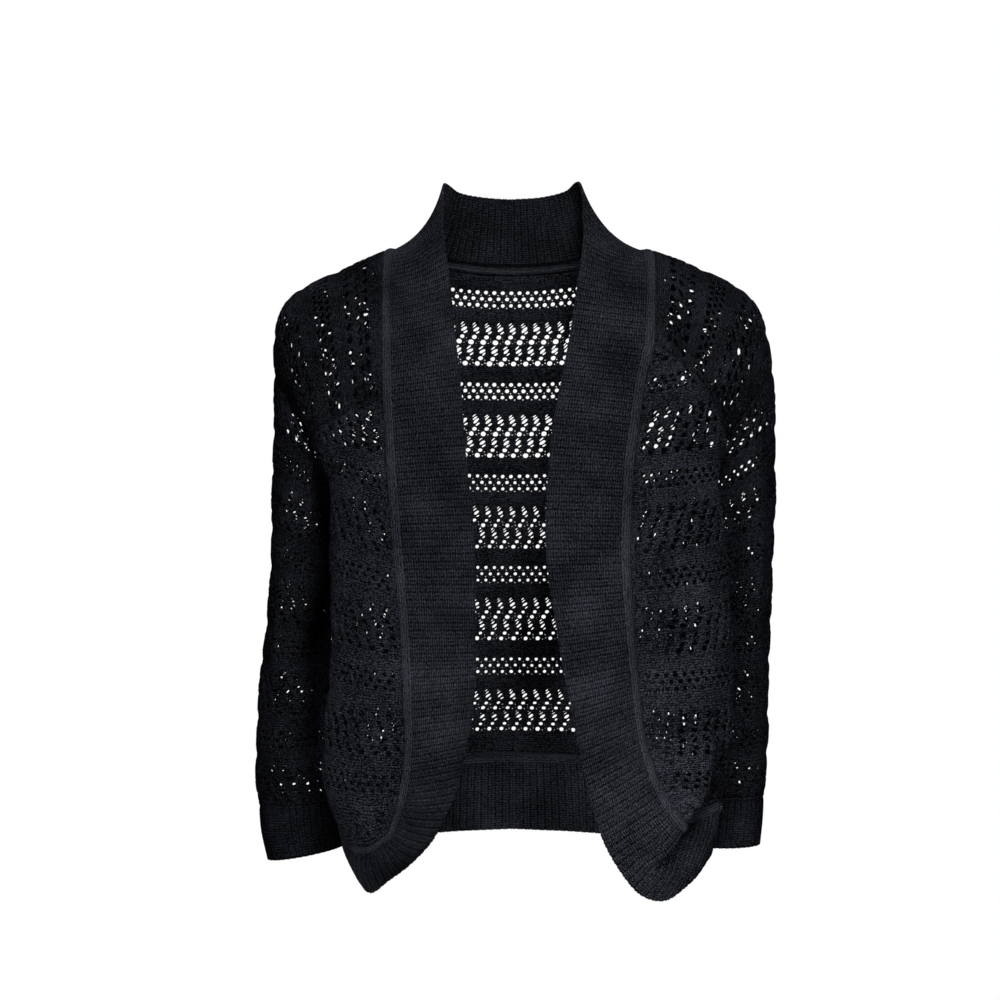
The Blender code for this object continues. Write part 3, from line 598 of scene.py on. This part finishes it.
def hole_list(cloth, phase, stretch, openness, dice):
    """All holes of a panel: centre, half length, half width, lean and corners, row by row."""
    end = cloth.down[-1]
    low = cloth.across[:, 0].min()
    high = cloth.across[:, -1].max()
    rows = []
    for turn in range(-2, int(end / REPEAT) + 3):
        base = phase + turn * REPEAT
        for downs, pitch, unit in ((FAN_ROWS, FAN_PITCH, FAN), (EYELET_ROWS, EYELET_PITCH, EYELET)):
            rows += [(base + down, pitch * stretch, 0.5 * n, unit) for n, down in enumerate(downs)]
    found = [(((number + offset) * pitch + across * stretch, middle + down), shape)
             for middle, pitch, offset, unit in rows if -UNIT_REACH < middle < end + UNIT_REACH
             for number in range(int(low / pitch) - 2, int(high / pitch) + 3)
             for across, down, *shape in unit]
    flat = np.array([place for place, _ in found]) + dice.normal(0.0, HOLE_DRIFT, (len(found), 2))
    left, right = cloth.sides(flat[:, 1])
    clear = np.minimum(np.minimum(flat[:, 0] - left, right - flat[:, 0]),
                       np.minimum(flat[:, 1], end - flat[:, 1]))
    points = cloth.place(flat)
    slack = np.clip((SLACK_FROM - points[:, 2]) / (SLACK_FROM - SLACK_TO), 0.0, 1.0)
    clear[strained(points)] = 0.0
    size = 0.5 * dice.uniform(*HOLE_SIZES, len(found)) * np.interp(slack, (0.0, 1.0), openness)
    turned = dice.normal(0.0, HOLE_TURN, len(found))
    holes = []
    for (_, shape), (u, v), room, half, twist in zip(found, flat, clear, size, turned):
        length, width, lean, corners = shape
        if room > half * max(length * stretch, width) + EDGE_MARGIN:
            holes.append((u, v, half * length * stretch, half * width,
                          math.radians(lean + twist), corners))
    return apart(holes)


def apart(holes):
    """The holes without those that would run into a larger one beside them."""
    table = np.array(holes)
    lean = table[:, 4]
    gap = np.full((len(table), len(table)), -1.0, dtype=np.float32)
    for turn in np.linspace(0.0, math.pi, DIRECTIONS, endpoint=False):
        place = table[:, 0] * math.cos(turn) - table[:, 1] * math.sin(turn)
        reach = np.hypot(table[:, 2] * np.cos(turn - lean), table[:, 3] * np.sin(turn - lean))
        gap = np.maximum(gap, np.abs(place[:, None] - place) - reach[:, None] - reach)
    area = table[:, 2] * table[:, 3]
    larger = area[:, None] < area
    return [hole for hole, crowded in zip(holes, ((gap < THREAD) & larger).any(axis=1)) if not crowded]


def outline(hole):
    u, v, length, width, lean, corners = hole
    turn = 2 * math.pi * (np.arange(corners) + 0.5) / corners
    along = length * np.cos(turn)
    off = width * np.sin(turn)
    return np.column_stack((u + along * math.cos(lean) - off * math.sin(lean),
                            v - along * math.sin(lean) - off * math.cos(lean)))


def border_line(cloth, step):
    """Places round the cloth's edge, a step apart."""
    count = max(int(round(cloth.down[-1] / step)), 2)
    levels = np.linspace(0.0, cloth.down[-1], count + 1)
    left, right = cloth.sides(levels)

    def across(v):
        low, high = cloth.sides(v)
        parts = max(int(round((high - low) / step)), 1)
        return [(u, v) for u in np.linspace(low, high, parts + 1)]

    top = across(levels[0])
    bottom = across(levels[-1])
    down_right = list(zip(right, levels))[1:-1]
    up_left = list(zip(left, levels))[-2:0:-1]
    if len(top) == 2 and abs(top[1][0] - top[0][0]) < POINTED:
        top = top[:1]
    return top + down_right + bottom[::-1] + up_left


def lace_mesh(cloth, holes, step):
    """Places (u, v), triangles, and which places are on the rim of a hole."""
    runs = [np.array(border_line(cloth, step)), *(outline(hole) for hole in holes)]
    links = []
    count = 0
    for run in runs:
        links += [(count + n, count + (n + 1) % len(run)) for n in range(len(run))]
        count += len(run)
    runs.append(fill_points(cloth, holes, step))
    # each place's hole by number, or less than 0 for the edge and for plain knit
    owner = np.repeat(np.array([-1, *range(len(holes)), -2]), [len(run) for run in runs])
    flat = np.concatenate(runs)
    made = delaunay_2d_cdt([tuple(point) for point in flat], links, [], 1, 1e-5)
    source = np.array([names[0] for names in made[3]])
    faces = np.array([face for face in made[2]])
    holder = owner[source]
    corners = holder[faces]
    inside = (corners[:, 0] >= 0) & (corners.min(axis=1) == corners.max(axis=1))
    return flat[source], faces[~inside], holder >= 0


def fill_points(cloth, holes, step):
    """Places on a net of nearly even triangles, clear of the holes and the edge."""
    low = cloth.across[:, 0].min()
    high = cloth.across[:, -1].max()
    levels = np.arange(0.6 * step, cloth.down[-1] - 0.4 * step, 0.87 * step)
    net = np.array([(u, v) for n, v in enumerate(levels)
                    for u in np.arange(low + 0.5 * step * (n % 2), high, step)])
    left, right = cloth.sides(net[:, 1])
    net = net[(net[:, 0] > left + 0.5 * step) & (net[:, 0] < right - 0.5 * step)]
    for u, v, length, width, lean, _ in holes:
        away_u, away_v = (net - (u, v)).T
        along = away_u * math.cos(lean) - away_v * math.sin(lean)
        off = away_u * math.sin(lean) + away_v * math.cos(lean)
        net = net[(along / (length + HOLE_CLEAR)) ** 2 + (off / (width + HOLE_CLEAR)) ** 2 > 1.0]
    return net


def relief(flat, phase, stretch):
    """Height of the knit over its surface: raised ridges, and the ripple of the fans."""
    turn = (flat[:, 1] - phase) % REPEAT

    def away(middle):
        return (turn - middle + REPEAT / 2) % REPEAT - REPEAT / 2

    height = np.zeros(len(flat))
    for ridge in RIDGES:
        height += RIDGE_HEIGHT * np.exp(-(away(ridge) / RIDGE_WIDTH) ** 2)
    fans = np.exp(-(away(FANS_MIDDLE) / FANS_REACH) ** 4)
    lean = flat[:, 0] / (FAN_PITCH * stretch) + flat[:, 1] / RIPPLE_SLANT
    return height + RIPPLE_HEIGHT * fans * np.cos(2 * math.pi * lean)


# ---------------- from surfaces to walls
def vertex_normals(points, faces):
    first, second, third = points[faces].transpose(1, 0, 2)
    normal = np.cross(second - first, third - first)
    total = np.zeros_like(points)
    for n in range(3):
        np.add.at(total, faces[:, n], normal)
    return total / np.maximum(np.linalg.norm(total, axis=1), 1e-12)[:, None]


def rim_edges(faces):
    """Edges that only one face has, in that face's direction."""
    edges = np.concatenate([faces[:, (n, (n + 1) % 3)] for n in range(3)])
    span = int(faces.max()) + 1
    forth = edges[:, 0].astype(np.int64) * span + edges[:, 1]
    back = edges[:, 1].astype(np.int64) * span + edges[:, 0]
    return edges[~np.isin(forth, back)]


def merge_seam(points):
    """For each place, the first place that it falls together with: a tube's two edges become one."""
    spots = np.round(points / SEAM_WELD).astype(int)
    _, first, number = np.unique(spots, axis=0, return_index=True, return_inverse=True)
    return first[number.ravel()]


def lace_piece(solid, grid, middle, flip, material, dice):
    """A lace panel or sleeve: a wall on the grid, with real holes."""
    lay, openness = PANELS[solid]
    cloth = Cloth(grid, middle)
    flat, faces, rim_of_hole = lace_mesh(cloth, hole_list(cloth, *lay, openness, dice), LACE_STEP)
    points = cloth.place(flat)
    number = merge_seam(points)
    points = folded(points, SLEEVE_FOLDS if solid.startswith("sleeve") else BODY_FOLDS)
    if flip:
        faces = faces[:, ::-1]
    used = number[faces]
    left, right = cloth.sides(flat[:, 1])
    beside = np.clip(np.minimum(flat[:, 0] - left, right - flat[:, 0]) / SEAM_REACH, 0.0, 1.0)
    height = (relief(flat, *lay) + SEAM_DIP) * beside - SEAM_DIP - RIM_DIP * rim_of_hole
    outer = points + (vertex_normals(points, used) * height[:, None])[number]
    inner = outer - LACE_WALL * vertex_normals(outer, used)[number]
    count = len(points)
    rim = rim_edges(used)
    sides = np.concatenate((np.column_stack((rim[:, 1], rim[:, 0], rim[:, 0] + count)),
                            np.column_stack((rim[:, 1], rim[:, 0] + count, rim[:, 1] + count))))
    whole = np.concatenate((used, used[:, ::-1] + count, sides))
    corners = np.concatenate((flat[faces], flat[faces[:, ::-1]], flat[sides % count]))
    return mesh_piece(solid, np.concatenate((outer, inner)), whole, corners, material)


# ---------------- the rib
def steps_round(line):
    return np.linalg.norm(np.roll(line, -1, axis=0) - line, axis=1)


def evenly(line, count):
    """Count places at even distances along a closed line, as shares of its points."""
    far = np.concatenate(((0.0,), np.cumsum(steps_round(line))))
    return np.interp(np.arange(count) * far[-1] / count, far, np.arange(len(far)))


def at_shares(values, shares):
    """Values of a closed run between its points."""
    first = shares.astype(int)
    part = (shares - first).reshape((-1,) + (1,) * (values.ndim - 1))
    return (1 - part) * values[first % len(values)] + part * values[(first + 1) % len(values)]


def grid_normals(grid):
    """Direction out of a grid whose rows close on themselves: along the rows crossed with across."""
    along = np.roll(grid, -1, axis=0) - np.roll(grid, 1, axis=0)
    normal = np.cross(along, np.gradient(grid, axis=1))
    return normal / np.maximum(np.linalg.norm(normal, axis=2, keepdims=True), 1e-9)


def rib_piece(solid, grid, shares, rise, depth, width, inward, material):
    """A ribbed wall that closes on itself. Rows of the grid run across the rib, from free edge to
    seam at the shares; rise is the height added at each share and depth that of the ribs there.
    Its places on the flat are the number of ribs along and millimetres across."""
    stations, columns = grid.shape[:2]
    crest = np.tile(RIB_PROFILE, stations // RIB_SAMPLES)[:, None]
    round_it = 2 * math.pi * np.arange(stations) / stations
    slow = sum(strength * np.sin(round_it * waves + start) for waves, strength, start in EDGE_WAVES)
    normal = grid_normals(grid) * inward
    away = grid[:, 0] - grid[:, 1]
    grid[:, 0] += EDGE_TOOTH * crest * (away / np.linalg.norm(away, axis=1, keepdims=True))
    height = rise + crest * depth + EDGE_WAVE_HEIGHT * slow[:, None] * (1 - shares) ** 2
    outer = grid + normal * height[:, :, None]
    inner = outer - normal * RIB_WALL

    # every corner of a face by its station, column and layer
    n, c = np.indices((stations, columns - 1)).reshape(2, -1, 1)
    sheet = np.stack(np.broadcast_arrays(n + (0, 1, 1, 0), c + (0, 0, 1, 1), 0), axis=2)
    low, high = (np.stack(np.broadcast_arrays(n[::columns - 1] + (1, 0, 0, 1), column, (0, 0, 1, 1)), axis=2)
                 for column in (0, columns - 1))
    whole = np.concatenate((sheet, sheet[:, ::-1] + (0, 0, 1), low, high[:, ::-1]))[:, ::inward]
    station, column, layer = whole.transpose(2, 0, 1)
    faces = (layer * stations + station % stations) * columns + column
    corners = np.stack((station / RIB_SAMPLES, shares[column] * width), axis=2)
    points = np.concatenate((outer.reshape(-1, 3), inner.reshape(-1, 3)))
    return mesh_piece(solid, points, faces, corners, material)


def band_stations(side, seams):
    """Seam point, free edge point and bulge for each place along one side of the band."""
    table = np.array([(number + share, *rest) for number, stretch in enumerate(seams)
                      for share, *rest in BAND_EDGE[side][stretch]])
    anchors, edge, bulge = table[:, 0], table[:, 1:4], table[:, 4]
    rows = []
    for number, line in enumerate(seams.values()):
        steps = np.linalg.norm(np.diff(line, axis=0), axis=1)
        shares = np.concatenate(((0.0,), np.cumsum(steps))) / steps.sum()
        for share, point in zip(shares, line):
            at = number + share
            index = min(int(np.searchsorted(anchors, at, side="right")) - 1, len(anchors) - 2)
            place = index + (at - anchors[index]) / (anchors[index + 1] - anchors[index])
            row = np.concatenate((point, smooth(edge, place), (np.interp(at, anchors, bulge),)))
            if not rows or np.linalg.norm(row[:3] - rows[-1][:3]) > POINTED:
                rows.append(row)
    return rows


def band_piece(fronts, back, sleeves, material):
    """The rib band, right round the opening, with the linking seam along it like a cord."""
    rows = {}
    for side, turn in (("left", 1), ("right", -1)):
        rows[side] = band_stations(side, {
            "neck": back[0][HALF_BACK_COLUMNS::turn],
            "saddle": sleeves[side][0][::-1],
            "front": fronts[side][:, 0],
            "hem": fronts[side][-1],
            "back": back[-1][HALF_BACK_COLUMNS::turn][::-1],
        })
    line = np.array(rows["left"] + rows["right"][-2:0:-1])
    seam, edge, bulge = line[:, :3], line[:, 3:6], line[:, 6]
    middle = 0.5 * (seam + edge)
    ribs = int(round(steps_round(middle).sum() / RIB_PITCH))
    shares = evenly(middle, ribs * RIB_SAMPLES)
    seam, edge, bulge = (at_shares(values, shares) for values in (seam, edge, bulge))
    along = np.roll(seam, -BAND_EVEN, axis=0) - np.roll(seam, BAND_EVEN, axis=0)
    out = np.cross(along, seam - edge)
    out /= np.linalg.norm(out, axis=1, keepdims=True)
    across = BAND_SHARES
    grid = edge[:, None] + across[:, None] * (seam - edge)[:, None]
    grid += out[:, None] * (bulge[:, None] * 4 * across * (1 - across))[:, :, None]
    grid = folded(grid.reshape(-1, 3), BODY_FOLDS).reshape(grid.shape)
    rise = RIB_STAND + CORD_RISE * np.interp(across, *CORD_PROFILE)
    depth = np.where(across < CORD_FROM, RIB_DEPTH, CORD_GRAIN) * np.where(across > 0.0, 1.0, FREE_EDGE_DEPTH)
    return rib_piece("rib_band", grid, across, rise, depth, BAND_WIDTH, 1, material)


def cuff_piece(side, material):
    """A rib cuff with its ribs along the sleeve, from the open end up to the seam."""
    levels = np.linspace(len(CUFF[side]) - 1.0, 0.0, CUFF_ROWS)
    rings = np.array([ring(smooth(CUFF[side], place), HALF_SLEEVE_COLUMNS)[:-1] for place in levels])
    ribs = int(round(steps_round(rings[0]).sum() / CUFF_PITCH))
    rows = np.array([at_shares(line, evenly(line, ribs * RIB_SAMPLES)) for line in rings])
    grid = folded(rows.reshape(-1, 3), SLEEVE_FOLDS).reshape(rows.shape).transpose(1, 0, 2)
    shares = np.linspace(0.0, 1.0, CUFF_ROWS)
    ridge = np.exp(-((shares - CUFF_SEAM) / CUFF_SEAM_WIDTH) ** 2)
    rise = RIB_STAND + CUFF_SEAM_RISE * ridge - CUFF_SEAM_RISE * (shares == 1.0)
    depth = RIB_DEPTH * np.where(shares > CUFF_FLAT_FROM, *CUFF_DEPTHS)
    inward = -1 if side == "left" else 1
    return rib_piece("cuff_" + side, grid, shares, rise, depth, CUFF_LENGTH, inward, material)


def mesh_piece(solid, points, faces, corners, material):
    """A smooth mesh, of triangles or of quads, with its place on the flat knit at each corner."""
    name = solid + "_knit"
    kept, faces = np.unique(faces, return_inverse=True)
    faces = faces.reshape(len(corners), -1)
    mesh = bpy.data.meshes.new(name)
    mesh.vertices.add(len(kept))
    mesh.vertices.foreach_set("co", ((points[kept] - ORIGIN) * MM).ravel())
    mesh.loops.add(faces.size)
    mesh.loops.foreach_set("vertex_index", faces.ravel().astype(np.int32))
    mesh.polygons.add(len(faces))
    mesh.polygons.foreach_set("loop_start", np.arange(0, faces.size, faces.shape[1], dtype=np.int32))
    mesh.update(calc_edges=True)
    layer = mesh.uv_layers.new(name="Knit")
    layer.data.foreach_set("uv", corners.astype(np.float32).ravel())
    mesh.polygons.foreach_set("use_smooth", np.ones(len(faces), bool))
    mesh.materials.append(material)
    return add_object(name, mesh)


def add_object(name, data, **settings):
    made = bpy.data.objects.new(name, data)
    bpy.context.collection.objects.link(made)
    return settled(made, **settings)


def settled(thing, **settings):
    for name, value in settings.items():
        setattr(thing, name, value)
    return thing


# ---------------- materials
def node(tree, kind, **settings):
    return settled(tree.nodes.new(kind), **settings)


class Value:
    """A node's output. Sums with it, and with numbers, are made as maths nodes in its tree."""

    def __init__(self, socket):
        self.socket = socket
        self.tree = socket.id_data

    def joined(self, operation, *values):
        made = node(self.tree, "ShaderNodeMath", operation=operation)
        for socket, value in zip(made.inputs, values):
            if isinstance(value, Value):
                value.drive(socket)
            else:
                socket.default_value = value
        return Value(made.outputs[0])

    def maths(self, operation, *others):
        return self.joined(operation, self, *others)

    def __add__(self, other):
        return self.maths("ADD", other)

    def __sub__(self, other):
        return self.maths("SUBTRACT", other)

    def __rsub__(self, other):
        return self.joined("SUBTRACT", other, self)

    def __mul__(self, other):
        return self.maths("MULTIPLY", other)

    def __truediv__(self, other):
        return self.maths("DIVIDE", other)

    def noise(self, scale, detail):
        """A noise pattern over places, from 0 to 1."""
        made = node(self.tree, "ShaderNodeTexNoise")
        made.inputs["Scale"].default_value = scale
        made.inputs["Detail"].default_value = detail
        self.drive(made.inputs["Vector"])
        return Value(made.outputs["Fac"])

    def drive(self, socket):
        self.tree.links.new(self.socket, socket)


def new_material(name):
    """A material; gives it, its nodes and its shader's inputs."""
    material = bpy.data.materials.new(name)
    material.use_nodes = True
    return material, material.node_tree, material.node_tree.nodes["Principled BSDF"].inputs


def knit_material(name, cord_from=NO_CORD):
    """Matte yarn: stitches in Vs down each wale, with painted highlight on their legs and painted shade in
    between, fibre fuzz, and a slow random change of the yarn's shade. A ribbed knit has painted shade in
    its grooves and down the split of each crest, and is smoother and lighter along a cord."""
    tones, wale, course, relief_depth, ribbed = KNITS[name]
    material, tree, shader = new_material(name)
    shader["Metallic"].default_value = 0.0
    shader["Specular IOR Level"].default_value = 0.0
    shader["Sheen Weight"].default_value = 0.0

    parts = node(tree, "ShaderNodeSeparateXYZ")
    Value(node(tree, "ShaderNodeUVMap", uv_map="Knit").outputs[0]).drive(parts.inputs[0])
    sideways, downward = Value(parts.outputs[0]), Value(parts.outputs[1])
    body = Value(node(tree, "ShaderNodeTexCoord").outputs["Object"])
    shift = (body.noise(WAVER_GRAIN, 2.0) - 0.5) * WAVER
    across = sideways / wale + shift * WAVER_ACROSS
    leg = (across.maths("FRACT") - 0.5).maths("ABSOLUTE") * 2.0
    down = downward / course + leg * LEG_SLANT + shift
    stitch = (down.maths("FRACT") * math.pi).maths("SINE")
    height = stitch * ((leg * math.pi).maths("SINE") * LEG_ROUND + (1.0 - LEG_ROUND))
    fuzz = body.noise(FUZZ_GRAIN, 2.0)
    bump = node(tree, "ShaderNodeBump")
    bump.inputs["Strength"].default_value = 1.0
    bump.inputs["Distance"].default_value = relief_depth
    (height + fuzz * FUZZ_RELIEF).drive(bump.inputs["Height"])
    Value(bump.outputs[0]).drive(shader["Normal"])

    loose = body.noise(LOOSE_GRAIN, 1.0) - 0.5
    shade = body.noise(SHADE_GRAIN, 4.0) - 0.5
    # tone: painted highlight and painted shade from the stitches' relief, with random changes of the yarn's
    # tone
    tone = height * STITCH_LIGHT_AND_SHADE + loose * LOOSE_TONES[ribbed] + shade * SHADE_TONE
    tone = tone + (fuzz - 0.5) * FUZZ_TONES[ribbed]
    if ribbed:
        # painted shade in the rib's grooves and down the split of each crest; along the cord an even lift
        # instead
        turn = (sideways * (2 * math.pi)).maths("COSINE")
        cord = downward.maths("GREATER_THAN", cord_from)
        groove_shade = turn * RIB_PAINTED_SHADE - turn * turn * GROOVE_PAINTED_SHADE
        tone = tone + (1.0 - cord) * groove_shade + cord * CORD_TONE
    # the three colours: painted shade, the yarn, painted highlight
    ramp = node(tree, "ShaderNodeValToRGB")
    stops = ramp.color_ramp.elements
    stops.new(TONE_PLACES[1])
    for stop, place, tint in zip(stops, TONE_PLACES, tones, strict=True):
        stop.position = place
        stop.color = (*tint, 1.0)
    tone.drive(ramp.inputs[0])
    Value(ramp.outputs[0]).drive(shader["Base Color"])
    (fuzz * FUZZ_ROUGHNESS + ROUGHNESS).drive(shader["Roughness"])
    return material


# ---------------- stage, light and camera
def seen_by_camera(tree):
    """1 for what the camera itself looks at, 0 for what only lights other things."""
    return Value(node(tree, "ShaderNodeLightPath").outputs["Is Camera Ray"])


def floor_material():
    """Pale matte paint that looks evenly lit from wherever it is seen."""
    material, tree, shader = new_material("floor_paint")
    shader["Base Color"].default_value = (FLOOR_SHADE, FLOOR_SHADE, FLOOR_SHADE, 1.0)
    shader["Roughness"].default_value = 0.9
    shader["Emission Color"].default_value = (1.0, 1.0, 1.0, 1.0)
    (seen_by_camera(tree) * FLOOR_GLOW).drive(shader["Emission Strength"])
    return material


def add_floor():
    mesh = bpy.data.meshes.new("floor")
    rim = [(FLOOR_RADIUS * math.cos(a), FLOOR_RADIUS * math.sin(a), FLOOR_HEIGHT)
           for a in np.linspace(0.0, 2 * math.pi, FLOOR_SIDES + 1)[:-1]]
    mesh.from_pydata(rim, [], [tuple(range(FLOOR_SIDES))])
    mesh.materials.append(floor_material())
    floor = add_object("floor", mesh)


def add_light(name, place, aim, size, power, spread):
    data = settled(bpy.data.lights.new(name, "AREA"), spread=spread, shape="DISK", size=size, energy=power)
    toward = Vector(aim) - Vector(place)
    add_object(name, data, location=place, rotation_euler=toward.to_track_quat("-Z", "Y").to_euler())


def add_world():
    """White all round to look at, and a dimmer white to be lit by."""
    world = bpy.data.worlds.new("studio")
    world.use_nodes = True
    inputs = world.node_tree.nodes["Background"].inputs
    inputs["Color"].default_value = (1.0, 1.0, 1.0, 1.0)
    (seen_by_camera(world.node_tree) * (1.0 - AMBIENT) + AMBIENT).drive(inputs["Strength"])
    bpy.context.scene.world = world


def add_camera():
    data = settled(bpy.data.cameras.new("camera"), sensor_width=SENSOR_WIDTH, lens=CAMERA_LENS,
                   clip_start=0.05, clip_end=50.0)
    bpy.context.scene.camera = add_object("camera", data, location=CAMERA_PLACE,
                                          rotation_euler=(math.pi / 2, 0.0, 0.0))


# ---------------- the cardigan
def main():
    fronts = {side: front_grid(side) for side in SIDES}
    sleeves = {side: sleeve_grid(side) for side in SIDES}
    back = back_grid()

    lace = knit_material("lace_knit")
    # the lace yarn painted darker, as painted shade on the sleeves
    sleeve = knit_material("sleeve_knit")
    rib = knit_material("rib_knit", CORD_COLOUR_FROM)
    # the rib yarn painted darker, as painted shade on the cuffs
    cuff = knit_material("cuff_knit")

    dice = np.random.default_rng(7)
    pieces = {"back_panel": lace_piece("back_panel", back, HALF_BACK_COLUMNS, True, lace, dice)}
    for side in SIDES:
        solid = "front_" + side
        pieces[solid] = lace_piece(solid, fronts[side], 0, side == "right", lace, dice)
    for side in SIDES:
        solid = "sleeve_" + side
        pieces[solid] = lace_piece(solid, sleeves[side], HALF_SLEEVE_COLUMNS, side == "right", sleeve, dice)
        pieces["cuff_" + side] = cuff_piece(side, cuff)
    pieces["rib_band"] = band_piece(fronts, back, sleeves, rib)

    for solid, piece in pieces.items():
        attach(piece, "root")
        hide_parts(solid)

    add_floor()
    add_world()
    for name, light in LIGHTS.items():
        add_light(name, *light)
    add_camera()
    bpy.context.scene.view_settings.view_transform = "Standard"
    bpy.context.view_layer.update()


main()
